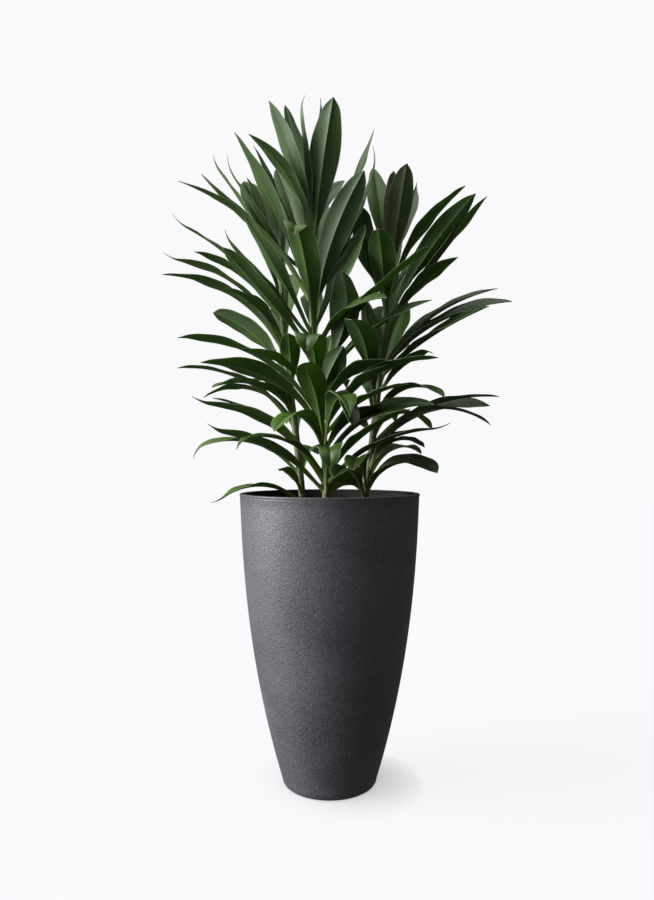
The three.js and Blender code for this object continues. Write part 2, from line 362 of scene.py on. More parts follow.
@dataclass(frozen=True)
class LeafSkin:
    """A glossy leaf: dark upper side, paler underside, pale rib and margins, light passing through.

    The leaf's look comes with the mesh: how light, how yellow and how bronze it is. Its lightness is
    partly the leaf's own tone and partly painted light and shade, lighter on leaves turned towards the key
    light. A band is where a marking starts and where it is full, as a share of the width or of the length.
    """

    dark: Colour = (0.014, 0.040, 0.005)
    bright: Colour = (0.070, 0.160, 0.016)
    # On the lime look, yellow is painted light passing through the blade; on the others it is their own tint.
    yellow: Colour = (0.150, 0.240, 0.028)
    bronze: Colour = (0.055, 0.034, 0.012)
    under: Colour = (0.037, 0.085, 0.018)
    rib: Colour = (0.250, 0.360, 0.085)
    petiole: Colour = (0.130, 0.220, 0.040)
    petiole_root: Colour = (0.330, 0.360, 0.130)
    margin: Colour = (0.280, 0.330, 0.190)
    dry: Colour = (0.230, 0.150, 0.080)
    glow: Colour = (0.300, 0.560, 0.070)
    see_through: float = 0.34
    rib_edge: Band = (0.012, 0.065)
    rib_fade: Band = (1.05, 0.45)
    margin_edge: Band = (0.94, 0.99)
    petiole_end: Band = (0.33, 0.10)
    root_end: Band = (0.10, 0.01)
    dry_end: Band = (0.978, 0.995)
    dry_chance: Band = (0.35, 0.65)
    vein_density: float = 13.0
    vein_lean: float = 5.0

    def material(self) -> bpy.types.Material:
        """Makes the finish.

        Returns:
            The material.
        """
        bench = Bench("leaf skin")
        uv = bench.add("ShaderNodeSeparateXYZ", {0: bench.add("ShaderNodeUVMap", uv_map="leaf").outputs[0]})
        across = bench.math("ABSOLUTE", bench.times(uv.outputs["X"], 2.0, -1.0))
        along = uv.outputs["Y"]
        look = bench.add("ShaderNodeSeparateColor", {0: bench.attribute("look", "Color")})
        lightness, yellowness, bronzeness = look.outputs[0], look.outputs[1], look.outputs[2]
        underside = bench.attribute("underside")
        chance = bench.attribute("chance")

        veins = self.veins(bench, across, along, chance)
        clouds = bench.speckle(bench.place(), 34, 3)
        # Painted light and shade: each leaf's lightness is partly set by how lit it is, lighter towards the
        # key light and darker away from it.
        tone = bench.math("ADD", lightness, bench.times(clouds, 0.5, -0.25))
        tone = bench.math("ADD", tone, bench.times(veins, 0.44, -0.22))
        green = bench.blend(bench.math("MAXIMUM", tone, 0.0), self.dark, self.bright)
        # On the lime look the yellow is painted light passing through the blade; on the others it is their
        # own tint.
        green = bench.blend(yellowness, green, self.yellow)
        upper = bench.blend(bench.times(bronzeness, 0.8), green, self.bronze)
        blade = bench.blend(bench.times(underside, 0.75), upper, self.under)

        rib_mask = bench.math("SUBTRACT", 1.0, bench.band(across, *self.rib_edge))
        rib_mask = bench.times(rib_mask, bench.band(along, *self.rib_fade))
        rib_mask = bench.times(rib_mask, bench.times(lightness, 0.6, 0.40))
        colour = bench.blend(rib_mask, blade, self.rib)
        margin_mask = bench.times(bench.band(across, *self.margin_edge), 0.85)
        colour = bench.blend(margin_mask, colour, self.margin)
        petiole_colour = bench.blend(bench.band(along, *self.root_end), self.petiole, self.petiole_root)
        petiole_mask = bench.times(bench.band(along, *self.petiole_end), 0.9)
        colour = bench.blend(petiole_mask, colour, petiole_colour)
        dry_mask = bench.times(bench.band(along, *self.dry_end), bench.band(chance, *self.dry_chance))
        colour = bench.blend(dry_mask, colour, self.dry)

        roughness = bench.times(underside, 0.10, bench.times(clouds, 0.16, 0.38))
        normal = bench.bump(veins, 0.35, 0.0005)
        skin = bench.add("ShaderNodeBsdfPrincipled",
                         {"Base Color": colour, "Roughness": roughness, "Normal": normal,
                          "Specular IOR Level": 0.50})
        glow = bench.blend(0.55, self.glow, colour)
        through = bench.add("ShaderNodeBsdfTranslucent", {"Color": glow, "Normal": normal})
        shader = bench.add("ShaderNodeMixShader",
                           {0: self.see_through, 1: skin.outputs[0], 2: through.outputs[0]})
        return bench.finish(shader.outputs[0])

    def veins(self, bench: Bench, across: object, along: object, chance: object) -> bpy.types.NodeSocket:
        """Fine veins that leave the rib at a sharp angle and run towards the tip.

        Args:
            bench: The material's tree.
            across: Share of the way from the rib to the margin.
            along: Share of the leaf's length.
            chance: The leaf's own random value.

        Returns:
            The veins' height, from 0 to 1.
        """
        run = bench.times(across, self.vein_density, bench.times(along, -self.vein_lean))
        where = bench.add("ShaderNodeCombineXYZ",
                          {0: run, 1: bench.times(along, 2.2), 2: bench.times(chance, 50.0)})
        return bench.speckle(where.outputs[0], 1, 3, 0.6)


@dataclass(frozen=True)
class PaleFloor:
    """Plain matt pale floor, bright enough to join a white surround, and darker under the object: a painted
    shadow.
    """

    colour: Colour = (0.040, 0.040, 0.040)
    cloud: Colour = (0.12, 0.12, 0.12)
    glow: Colour = (0.97, 0.98, 1.0)
    own_light: float = 0.885
    # The painted shadow: how far it reaches, how dark it gets, and the side its occlusion looks towards.
    painted_shadow_reach: float = 0.085
    painted_shadow_depth: float = 0.56
    open_side: tuple[float, float, float] = (-0.70, -0.45, 0.55)

    def material(self) -> bpy.types.Material:
        """Makes the finish.

        Returns:
            The material.
        """
        bench = Bench("pale floor")
        cloud = bench.speckle(bench.place(), 2.0, 2)
        colour = bench.blend(bench.times(cloud, 0.02), self.colour, self.cloud)
        side = bench.add("ShaderNodeCombineXYZ", dict(enumerate(self.open_side))).outputs[0]
        # Painted shadow: ambient occlusion that looks towards the open side dims the floor's own glow, so the
        # floor darkens beside the object, away from the key light.
        seen = bench.add("ShaderNodeAmbientOcclusion", {"Distance": self.painted_shadow_reach, "Normal": side},
                         samples=8)
        shade = bench.times(seen.outputs["AO"], self.painted_shadow_depth, 1 - self.painted_shadow_depth)
        strength = bench.times(shade, self.own_light)
        shader = bench.add("ShaderNodeBsdfPrincipled",
                           {"Base Color": colour, "Roughness": 1.0, "Specular IOR Level": 0.0,
                            "Emission Color": self.glow, "Emission Strength": strength})
        return bench.finish(shader.outputs[0])


@dataclass
class Planter:
    """The tall tapered planter, turned from one profile."""

    node: str = "planter"
    wall: float = 0.0085
    floor_thickness: float = 0.012
    bead_height: float = 0.004
    bead_proud: float = 0.001
    bead_bevel: Band = (0.002, 0.001)
    bead_draft: float = 0.0002
    lip_rounding: float = 0.0022
    inside_below_lip: float = 0.001
    inside_from: float = 0.7
    base_radius: float = 0.080
    base_rounding: float = 0.013
    bulge_share: float = 0.78
    bulge_power: float = 2.3
    segments: int = 96
    wall_steps: int = 26
    height: float = field(init=False)
    mouth_radius: float = field(init=False)

    def __post_init__(self) -> None:
        """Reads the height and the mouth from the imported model."""
        low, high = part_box(self.node)
        self.height = high[2]
        self.mouth_radius = (high[0] - low[0]) / 2

    def radius(self, height: float) -> float:
        """The outer radius at a height."""
        share = height / self.height
        curved = 1 - (1 - share) ** self.bulge_power
        flare = lerp(share, curved, self.bulge_share)
        return lerp(self.base_radius, self.mouth_radius - self.bead_proud, flare)

    def profile(self) -> list[tuple[float, float]]:
        """The (radius, height) points from the middle of the foot, up, over the lip and down inside.

        Returns:
            The points, whose first and last are on the axis.
        """
        bead_foot = self.height - self.bead_height
        foot = self.radius(self.base_rounding) - self.base_rounding
        points = [(0.0, 0.0)]
        for sine, cosine in quarter_turn(4):
            points.append((foot + self.base_rounding * sine, self.base_rounding * (1 - cosine)))
        for step in range(1, self.wall_steps):
            height = lerp(self.base_rounding, bead_foot, step / self.wall_steps)
            points.append((self.radius(height), height))
        below, above = self.bead_bevel
        points.append((self.mouth_radius - self.bead_proud, bead_foot - below))
        points.append((self.mouth_radius - self.bead_draft, bead_foot + above))
        inner = self.radius(self.height) - self.wall
        rounding = self.lip_rounding
        for sine, cosine in quarter_turn(4):
            points.append((self.mouth_radius - rounding * (1 - cosine), self.height - rounding * (1 - sine)))
        for sine, cosine in quarter_turn(3):
            points.append((inner + rounding * (1 - sine), self.height - rounding * (1 - cosine)))
        for step in range(1, self.wall_steps + 1):
            height = lerp(bead_foot, self.floor_thickness, step / self.wall_steps)
            points.append((self.radius(height) - self.wall, height))
        points.append((0.0, self.floor_thickness))
        return points

    def build(self) -> bpy.types.Object:
        """Turns the profile round the axis.

        Returns:
            The planter.
        """
        bm = turned(self.profile(), self.segments)
        # The "inside" value marks the inner wall below the lip, where the finish paints shade.
        inside = bm.verts.layers.float.new("inside")
        for vert in bm.verts:
            depth = self.radius(vert.co.z) - math.hypot(vert.co.x, vert.co.y)
            below_lip = self.floor_thickness / 2 < vert.co.z < self.height - self.inside_below_lip
            vert[inside] = 1.0 if below_lip and depth > self.wall * self.inside_from else 0.0
        finish = GrainedComposite(lip_height=self.height - self.bead_height)
        piece = make_piece("planter_shell", bm, finish.material(), [self.node])
        shade(piece, 50)
        return piece


def turned(profile: Sequence[tuple[float, float]], segments: int) -> bmesh.types.BMesh:
    """Spins a profile round the Z axis into a closed body.

    Args:
        profile: (radius, height) points that start and end on the axis.
        segments: How many steps go round.

    Returns:
        The closed bmesh, facing outwards.
    """
    bm = bmesh.new()
    verts = [bm.verts.new((radius, 0.0, height)) for radius, height in profile]
    edges = [bm.edges.new(pair) for pair in zip(verts, verts[1:])]
    bmesh.ops.spin(bm, geom=verts + edges, cent=(0, 0, 0), axis=(0, 0, 1), dvec=(0, 0, 0),
                   angle=math.tau, steps=segments, use_merge=True, use_duplicate=False)
    bmesh.ops.remove_doubles(bm, verts=bm.verts[:], dist=1e-6)
    bmesh.ops.recalc_face_normals(bm, faces=bm.faces[:])
    return bm


@dataclass
class PottingMix:
    """The potting mix: a crumbly body with bark chips and pale grit lying on it."""

    planter: Planter
    depth_below_rim: float = 0.040
    crown: float = 0.006
    to_wall: float = 0.0006
    to_floor: float = 0.0003
    lump: float = 0.0022
    wall_steps: int = 12
    rings: int = 30
    chip_size: Band = (3.5, 9.5)
    grit_size: Band = (1.6, 2.8)
    scatter_from_wall: float = 0.010
    chips: int = 420
    grit: int = 90
    seed: int = 7
    segments: int = 72

    def surface(self, x: float, y: float) -> float:
        """Height of the mix's surface at a place."""
        edge = self.planter.height - self.depth_below_rim
        share = min(1.0, math.hypot(x, y) / (self.planter.mouth_radius - self.planter.wall))
        lumps = noise.noise(Vector((x, y, 0)) * 55) + 0.5 * noise.noise(Vector((x, y, 3)) * 140)
        return edge + self.crown * (1 - share) + self.lump * lumps * (1 - share ** 8)

    def body(self) -> bmesh.types.BMesh:
        """Turns the body and lifts its top into crumbs.

        Returns:
            The closed bmesh.
        """
        edge = self.planter.height - self.depth_below_rim
        bottom = self.planter.floor_thickness + self.to_floor
        inside = self.planter.wall + self.to_wall
        profile = [(0.0, bottom)]
        for step in range(self.wall_steps + 1):
            height = lerp(bottom, edge, step / self.wall_steps)
            profile.append((self.planter.radius(height) - inside, height))
        rim = profile[-1][0]
        profile += [(rim * (1 - step / self.rings), edge) for step in range(1, self.rings)]
        profile.append((0.0, edge))
        bm = turned(profile, self.segments)
        tone = bm.verts.layers.float.new("tone")
        for vert in bm.verts:
            vert[tone] = 0.35
            if vert.co.z > edge - 1e-5:
                vert.co.z = self.surface(vert.co.x, vert.co.y)
        return bm

    def crumbs(self) -> bmesh.types.BMesh:
        """Scatters bark chips and grit on the surface.

        Returns:
            The bmesh of all of them.
        """
        bm = bmesh.new()
        tone = bm.verts.layers.float.new("tone")
        draw = random.Random(self.seed)
        reach = self.planter.mouth_radius - self.planter.wall - self.scatter_from_wall
        for index in range(self.chips + self.grit):
            is_grit = index >= self.chips
            angle = draw.uniform(0, math.tau)
            out = reach * math.sqrt(draw.uniform(0, 1))
            x, y = out * math.cos(angle), out * math.sin(angle)
            size = draw.uniform(*(self.grit_size if is_grit else self.chip_size)) * MM
            flat = 0.8 if is_grit else draw.uniform(0.25, 0.5)
            turn = Matrix.Rotation(draw.uniform(0, math.tau), 4, "Z")
            tip = Matrix.Rotation(draw.uniform(-0.5, 0.5), 4, "X")
            place = Matrix.Translation((x, y, self.surface(x, y) + size * flat * 0.25))
            stretch = Matrix.Diagonal((size, size * draw.uniform(0.45, 0.9), size * flat, 1))
            made = bmesh.ops.create_icosphere(bm, subdivisions=1, radius=0.5,
                                              matrix=place @ turn @ tip @ stretch)["verts"]
            level = 1.6 if is_grit else draw.uniform(0.15, 1.0)
            for vert in made:
                vert[tone] = level
                vert.co += Vector([draw.uniform(-0.08, 0.08) * size for _ in range(3)])
        return bm

    def build(self) -> list[bpy.types.Object]:
        """Builds the body and what lies on it.

        Returns:
            The pieces.
        """
        peat = SoilFinish("peat", (0.018, 0.012, 0.008), (0.110, 0.066, 0.038), 0.0035)
        bark = SoilFinish("bark chips", (0.030, 0.017, 0.010), (0.250, 0.150, 0.085), 0.0016)
        body = make_piece("potting_mix_body", self.body(), peat.material(), ["potting_mix"])
        shade(body, 60)
        chips = make_piece("potting_mix_chips", self.crumbs(), bark.material())
        return [body, chips]


class Look(Enum):
    """A leaf's colour: how light, how yellow and how bronze it is. Its lightness is partly the leaf's own
    tone
    and partly painted light and shade: leaves turned towards the key light on the left mostly take the
    lighter looks, and leaves turned away mostly the dark one.
    """

    DARK = (0.00, 0.00, 0.00)
    GREEN = (0.28, 0.00, 0.00)
    FRESH_AND_LIT = (0.60, 0.04, 0.00)
    OLIVE = (0.45, 0.12, 0.30)
    # Painted light: this look's bright yellow-green paints light passing through the blade.
    BACKLIT_LIME = (0.80, 0.60, 0.00)
    BRONZE = (0.10, 0.02, 0.85)


class Tip(Enum):
    """How a blade ends: (share of its length, share of its width) pairs, and its last bend in degrees."""

    POINTED = (((0.87, 0.63), (0.95, 0.34), (1.0, 0.0)), 0.0)
    BLUNT = (((0.87, 0.76), (0.96, 0.42), (1.0, 0.0)), 0.0)
    HAIR = (((0.86, 0.52), (0.93, 0.18), (1.0, 0.0)), -30.0)
    HOOKED = (((0.87, 0.60), (0.95, 0.22), (1.0, 0.0)), 42.0)
    ROLLED = (((0.87, 0.76), (0.96, 0.46), (1.0, 0.0)), 95.0)

    def __init__(self, ending: Curve, bend: float) -> None:
        """Keeps the two values under their own names."""
        self.ending = ending
        self.bend = bend


@dataclass(frozen=True)
class Leaf:
    """One leaf: where it springs from its cane, its bend and its blade, in millimetres and degrees."""

    height: float
    turn: float
    lift: float
    length: float
    sag: float
    width: float
    roll: float = 0.0
    look: Look = Look.GREEN
    tip: Tip = Tip.POINTED


@dataclass(frozen=True)
class LeafForm:
    """The form that all leaves share, in millimetres and degrees."""

    stations: tuple[float, ...] = (0.0, 0.16, 0.33, 0.51, 0.69, 0.87, 1.0)
    opening: Curve = ((0.0, 0.0), (0.16, 0.22), (0.33, 0.46), (0.51, 0.84), (0.69, 1.0))
    folds: Curve = ((0.0, 50.0), (0.16, 46.0), (0.33, 36.0), (0.51, 20.0), (0.69, 13.0), (1.0, 12.0))
    blade_thickness: float = 0.9
    petiole_width: float = 6.0
    petiole_thickness: float = 3.5
    edge_wave: float = 2.2
    ripple: float = 0.7
    twist: float = 12.0
    rolled_by: float = 0.4
    tip_bend_from: float = 0.84
    clasp_reach: Band = (8, 46)
    stem_fade: Band = (0.30, 0.62)
    blade_from: Band = (0.16, 0.36)
    thin_from: Band = (0.14, 0.34)
    columns: int = 10
    rows: int = 34

    def station_number(self, along: float) -> float:
        """The number of the station at a share of the length, with a fraction between two stations."""
        places = self.stations
        upper = next((i for i in range(1, len(places) - 1) if places[i] >= along), len(places) - 1)
        return upper - 1 + (along - places[upper - 1]) / (places[upper] - places[upper - 1])

    def half_width(self, leaf: Leaf, along: float) -> float:
        """Half the leaf's width at a share of its length.

        Args:
            leaf: The leaf.
            along: The share of its length.

        Returns:
            The half-width in millimetres.
        """
        blade = leaf.width / 2 * smooth_through(self.opening + leaf.tip.ending, along)
        clasp = 1 + 0.5 * (1 - smoothstep(along * leaf.length, *self.clasp_reach))
        stem = self.petiole_width / 2 * clasp * (1 - smoothstep(along, *self.stem_fade))
        fine_end = 0.9 if leaf.tip is not Tip.HAIR else 0.6
        return max(blade, stem, fine_end)

    def slope(self, leaf: Leaf, along: float) -> float:
        """The rib's slope in degrees at a share of its length, with the last bend of its tip."""
        bend = leaf.tip.bend * smoothstep(along, self.tip_bend_from, 1.0)
        return leaf.lift - leaf.sag * along - bend

    def rib(self, leaf: Leaf) -> list[tuple[float, float]]:
        """Walks the rib from its root.

        Args:
            leaf: The leaf.

        Returns:
            For each row, how far out and how far up it is, in millimetres.
        """
        points = [(0.0, 0.0)]
        for row in range(1, self.rows + 1):
            before, after = self.along(row - 1), self.along(row)
            slope = math.radians((self.slope(leaf, before) + self.slope(leaf, after)) / 2)
            step = leaf.length * (after - before)
            out, up = points[-1]
            points.append((out + step * math.cos(slope), up + step * math.sin(slope)))
        return points

    def along(self, row: int) -> float:
        """The share of the length at a row, with the rows closer together towards the tip."""
        even = row / self.rows
        return even * (1.3 - 0.3 * even)

    def section(self, leaf: Leaf, index: int, along: float, across: float) -> tuple[float, float]:
        """The upper face of the leaf's section.

        Args:
            leaf: The leaf.
            index: The leaf's number on its cane.
            along: Share of the length.
            across: From -1 at one margin to 1 at the other.

        Returns:
            How far sideways and how far above the rib the point is, in millimetres.
        """
        half = self.half_width(leaf, along)
        wide = 2 * half / leaf.width
        blade = smoothstep(along, *self.blade_from)
        wave = self.edge_wave * math.sin(index + self.station_number(along) * 2.1) * wide * blade
        ripple = self.ripple * math.sin(along * 31 + index * 2.3 + (1.1 if across > 0 else 0)) * wide * blade
        reach = abs(across)
        fold = math.radians(smooth_through(self.folds, along))
        channel = half * math.sin(fold) * reach ** lerp(1.7, 1.0, blade)
        arch = half * 0.07 * blade * math.sin(math.pi * reach)
        groove = 0.35 * blade * math.exp(-(reach * half / 1.3) ** 2)
        side = math.copysign(1.0, across)
        rise = channel + arch - groove + side * wave * reach ** 1.5 + ripple * reach ** 3
        return across * half * math.cos(fold), rise

    def depth(self, leaf: Leaf, along: float, across: float) -> float:
        """The leaf's thickness in millimetres, with its keel along the rib."""
        blade = smoothstep(along, *self.thin_from)
        half = self.half_width(leaf, along)
        petiole = self.petiole_thickness * math.sqrt(max(0.05, 1 - 0.85 * across * across))
        keel = 1.3 * (1 - along) * math.exp(-(across * half / 1.5) ** 2)
        thin = self.blade_thickness * (1 - 0.5 * across ** 4) * (1 - 0.45 * smoothstep(along, 0.9, 1.0))
        return lerp(petiole, thin + keel, blade)

    def thick_grid(self, bm: bmesh.types.BMesh) -> set[bmesh.types.BMVert]:
        """Adds a flat grid, from -1 to 1 both ways and 1 thick.

        Args:
            bm: The bmesh, with its leaf layers made.

        Returns:
            The grid's vertices.
        """
        made = bmesh.ops.create_grid(bm, x_segments=self.columns, y_segments=self.rows, size=1.0)
        faces = list({face for vert in made["verts"] for face in vert.link_faces})
        thick = bmesh.ops.solidify(bm, geom=faces, thickness=1.0)["geom"]
        verts = {vert for face in faces for vert in face.verts}
        for item in thick:
            if isinstance(item, bmesh.types.BMVert):
                verts.add(item)
            elif isinstance(item, bmesh.types.BMFace):
                verts.update(item.verts)
        return verts

    def grow(self, bm: bmesh.types.BMesh, root: Vector, leaf: Leaf, index: int, chance: float) -> None:
        """Adds a leaf to a bmesh: a thick grid that is bent into its form.

        Args:
            bm: The bmesh, with its leaf layers made.
            root: Where the leaf springs from, in millimetres.
            leaf: The leaf.
            index: Its number on its cane.
            chance: Its own random value.
        """
        verts = self.thick_grid(bm)
        look_layer = bm.verts.layers.float_color["look"]
        under_layer = bm.verts.layers.float["underside"]
        chance_layer = bm.verts.layers.float["chance"]
        uv_layer = bm.loops.layers.uv["leaf"]
        heading = math.radians(leaf.turn)
        outward = Vector((math.cos(heading), math.sin(heading), 0))
        side = Vector((-math.sin(heading), math.cos(heading), 0))
        rib = self.rib(leaf)
        twist = self.twist * math.sin(index * 1.7)
        top = max(vert.co.z for vert in verts)
        places = {}
        for vert in verts:
            row = round((vert.co.y + 1) / 2 * self.rows)
            across = math.copysign(abs(vert.co.x) ** 1.35, vert.co.x)
            is_under = vert.co.z < top - 0.5
            along = self.along(row)
            slope = math.radians(self.slope(leaf, along))
            normal = Vector((0, 0, math.cos(slope))) - outward * math.sin(slope)
            turned_by = math.radians(leaf.roll * smoothstep(along, 0, self.rolled_by) + twist * along)
            across_way = side * math.cos(turned_by) + normal * math.sin(turned_by)
            above_way = normal * math.cos(turned_by) - side * math.sin(turned_by)
            sideways, rise = self.section(leaf, index, along, across)
            if is_under:
                rise -= self.depth(leaf, along, across)
            out, up = rib[row]
            point = root + outward * out + Vector((0, 0, up)) + across_way * sideways + above_way * rise
            vert.co = point * MM
            vert[look_layer] = (*leaf.look.value, 1.0)
            vert[under_layer] = 1.0 if is_under else 0.0
            vert[chance_layer] = chance
            places[vert] = (0.5 + across / 2, along)
        for face in {face for vert in verts for face in vert.link_faces}:
            for loop in face.loops:
                loop[uv_layer].uv = places[loop.vert]


@dataclass(frozen=True)
class RearRule:
    """The rule that places a cane's unseen rear leaves, lowest first."""

    count: int
    lowest: float
    highest: float
    turn: float
    spread: float
    golden_angle: float = 137.5
    low_leaf: Leaf = Leaf(0, 0, 54, 225, 78, 42)
    high_leaf: Leaf = Leaf(0, 0, 76, 270, 28, 46)

    def leaves(self) -> list[Leaf]:
        """Works out the leaves.

        Returns:
            One leaf for each step of the golden angle.
        """
        made = []
        for step in range(self.count):
            share = step / (self.count - 1)
            low, high = self.low_leaf, self.high_leaf
            made.append(Leaf(
                height=lerp(self.lowest, self.highest, share),
                turn=self.turn + (step * self.golden_angle) % self.spread,
                lift=lerp(low.lift, high.lift, share),
                length=lerp(low.length, high.length, share),
                sag=lerp(low.sag, high.sag, share),
                width=lerp(low.width, high.width, share),
                look=(Look.GREEN, Look.DARK, Look.FRESH_AND_LIT)[step % 3],
                tip=(Tip.POINTED, Tip.HOOKED, Tip.BLUNT, Tip.HAIR)[step % 4],
            ))
        return made


@dataclass
class Cane:
    """A leafy cane: a ringed stem and the leaves that spring from it, in millimetres and degrees."""

    node: str
    path: list[tuple[float, float, float]]
    leaves: list[Leaf]
    rear: RearRule
    seed: int
    radius: float = 6.5
    tip_radius: float = 3.0
    taper_power: float = 3.0
    internode: float = 12.5
    ring_rows: int = 5
    sides: int = 16
    form: LeafForm = LeafForm()

    def point(self, height: float) -> Vector:
        """The point on the cane's axis at a height."""
        last = len(self.path) - 1
        upper = next((i for i in range(1, last) if self.path[i][2] >= height), last)
        low, high = Vector(self.path[upper - 1]), Vector(self.path[upper])
        return low.lerp(high, (height - low.z) / (high.z - low.z))

    def scar(self, height: float) -> float:
        """How much of a leaf scar a height shows, from 0 to 1."""
        within = (height / self.internode) % 1.0
        return max(0.0, 1 - abs(within - 0.5) * 5.0)

    def stem(self) -> bmesh.types.BMesh:
        """Makes the ringed stem from a tall prism.

        Returns:
            The closed bmesh.
        """
        bottom, top = self.path[0][2], self.path[-1][2]
        rows = round((top - bottom) / self.internode * self.ring_rows)
        bm = bmesh.new()
        scar_layer = bm.verts.layers.float.new("scar")
        bmesh.ops.create_cone(bm, segments=self.sides, radius1=1.0, radius2=1.0, depth=1.0, cap_ends=True)
        upright = [edge for edge in bm.edges if abs(edge.verts[0].co.z - edge.verts[1].co.z) > 0.5]
        bmesh.ops.subdivide_edges(bm, edges=upright, cuts=rows - 1, use_grid_fill=True)
        for vert in bm.verts:
            share = vert.co.z + 0.5
            height = lerp(bottom, top, share)
            scar = self.scar(height)
            thick = lerp(self.radius, self.tip_radius, share ** self.taper_power) * (1 + 0.07 * scar)
            centre = self.point(height)
            vert[scar_layer] = scar
            vert.co = (centre + Vector((vert.co.x * thick, vert.co.y * thick, 0))) * MM
        bmesh.ops.recalc_face_normals(bm, faces=bm.faces[:])
        return bm

    def crown(self) -> bmesh.types.BMesh:
        """Grows all of the cane's leaves.

        Returns:
            The bmesh of the leaves.
        """
        bm = bmesh.new()
        bm.verts.layers.float_color.new("look")
        bm.verts.layers.float.new("underside")
        bm.verts.layers.float.new("chance")
        bm.loops.layers.uv.new("leaf")
        draw = random.Random(self.seed)
        for index, leaf in enumerate([*self.leaves, *self.rear.leaves()]):
            self.form.grow(bm, self.point(leaf.height), leaf, index, draw.random())
        bmesh.ops.recalc_face_normals(bm, faces=bm.faces[:])
        return bm

    def build(self, skin: bpy.types.Material, bark: bpy.types.Material) -> list[bpy.types.Object]:
        """Builds the stem and the leaves.

        Args:
            skin: The leaves' finish.
            bark: The stem's finish.

        Returns:
            The two pieces.
        """
        stem = make_piece(f"{self.node}_stem", self.stem(), bark, [self.node])
        shade(stem, 60)
        crown = make_piece(f"{self.node}_leaves", self.crown(), skin, [self.node])
        shade(crown, 60)
        return [stem, crown]


DARK, GREEN, FRESH_AND_LIT, OLIVE, BACKLIT_LIME, BRONZE = Look
POINTED, BLUNT, HAIR, HOOKED, ROLLED = Tip

# The looks in these tables are partly painted light and shade: leaves turned towards the key light on the
# left mostly take the lighter looks, and leaves turned away mostly the dark one.
MIDDLE_CANE = Cane(
    node="middle_cane",
    path=[(-5, -40, 400), (-8, -38, 590), (-18, -34, 660), (-27, -26, 770), (-33, -20, 860), (-30, -15, 945)],
    leaves=[
        Leaf(918, 326, 85, 289, 8, 56, -60, tip=BLUNT), Leaf(938, 76, 79, 309, 4, 26, 0, BRONZE, HAIR),
        Leaf(930, 205, 86.3, 288, 3, 30, 0, DARK, HAIR), Leaf(918, 197, 83.4, 292, 18, 48, 28),
        Leaf(932, 122, 79, 326, 14, 44, 0, FRESH_AND_LIT), Leaf(907, 200, 96, 268, 66, 30, 15, FRESH_AND_LIT),
        Leaf(848, 205, 70, 312, 14, 38, 12, FRESH_AND_LIT), Leaf(880, 150, 70.5, 303, 10, 16, 0, DARK),
        Leaf(870, 120, 72, 300, 20, 50, -30), Leaf(775, 260, 78, 262, 66, 58, -24, FRESH_AND_LIT, ROLLED),
        Leaf(790, 344, 87, 300, 30, 52, -68, DARK, BLUNT), Leaf(905, 3, 58.6, 278, -16, 36, 18),
        Leaf(915, 60, 88, 234, 60, 42), Leaf(850, 23, 54.6, 326, -22, 28, tip=HAIR),
        Leaf(800, 8, 62, 212, -4, 56, 45), Leaf(830, 62, 65, 260, 28, 38, 25),
        Leaf(722, 335, 40, 195, -70, 58, -50, DARK, BLUNT),
        Leaf(740, 326, 80, 193, 90, 50, 35, tip=BLUNT), Leaf(734, 343, 56, 285, 24, 54, 12, tip=BLUNT),
        Leaf(897, 191, 34, 256, -14, 36, -6), Leaf(850, 184, 59, 298, 2, 28, 0, FRESH_AND_LIT, HAIR),
        Leaf(779, 208, 44.5, 243, 0, 32, 4, DARK, HAIR),
        Leaf(755, 214, 45, 242, 5, 40, 15, FRESH_AND_LIT, BLUNT),
        Leaf(638, 194, 62.5, 298, 66, 38, 0, FRESH_AND_LIT, BLUNT), Leaf(684, 235, 33, 212, 32, 36),
        Leaf(617, 203, 61, 259, 66, 50, 30, FRESH_AND_LIT), Leaf(531, 192, 64, 253, 54, 38, 0, FRESH_AND_LIT),
        Leaf(526, 198, 63, 287, 64, 48, 6, FRESH_AND_LIT, HAIR),
        Leaf(514, 207, 48.6, 248, 44, 40, 22, FRESH_AND_LIT, HAIR), Leaf(538, 221, 58, 220, 80, 32, tip=HOOKED),
        Leaf(570, 247, 66, 232, 105, 52, 0, FRESH_AND_LIT), Leaf(510, 272, 56, 250, 76, 46, tip=ROLLED),
        Leaf(595, 281, 64, 245, 100, 46, 0, FRESH_AND_LIT, HOOKED), Leaf(660, 264, 72, 240, 90, 52, tip=ROLLED),
        Leaf(600, 258, 62, 200, 45, 48, 0, BACKLIT_LIME, BLUNT), Leaf(689, 342, 60, 258, 46, 48, 24, DARK),
        Leaf(639, 340, 54, 240, 55, 44), Leaf(612, 320, 46, 200, 42, 34, 0, FRESH_AND_LIT),
        Leaf(571, 338, 58, 225, 64, 60, 20, DARK), Leaf(527, 333, 50, 256, 54, 42, 12, tip=HAIR),
        Leaf(650, 290, 50, 190, 118, 36, 0, DARK, BLUNT), Leaf(655, 335, 62, 170, 62, 56, -10, DARK),
        Leaf(590, 330, 58, 142, 50, 54, -10, DARK), Leaf(851, 192, 64, 312, 47, 36, 0, FRESH_AND_LIT),
        Leaf(543, 325, 52, 205, 36, 56, 15), Leaf(785, 208, 60.5, 239, 8, 34, 10, FRESH_AND_LIT),
        Leaf(622, 330, 56, 170, 30, 50, 0, DARK), Leaf(672, 322, 72, 110, 24, 44, -45, DARK),
    ],
    rear=RearRule(count=6, lowest=580, highest=850, turn=66, spread=32),
    seed=11,
)
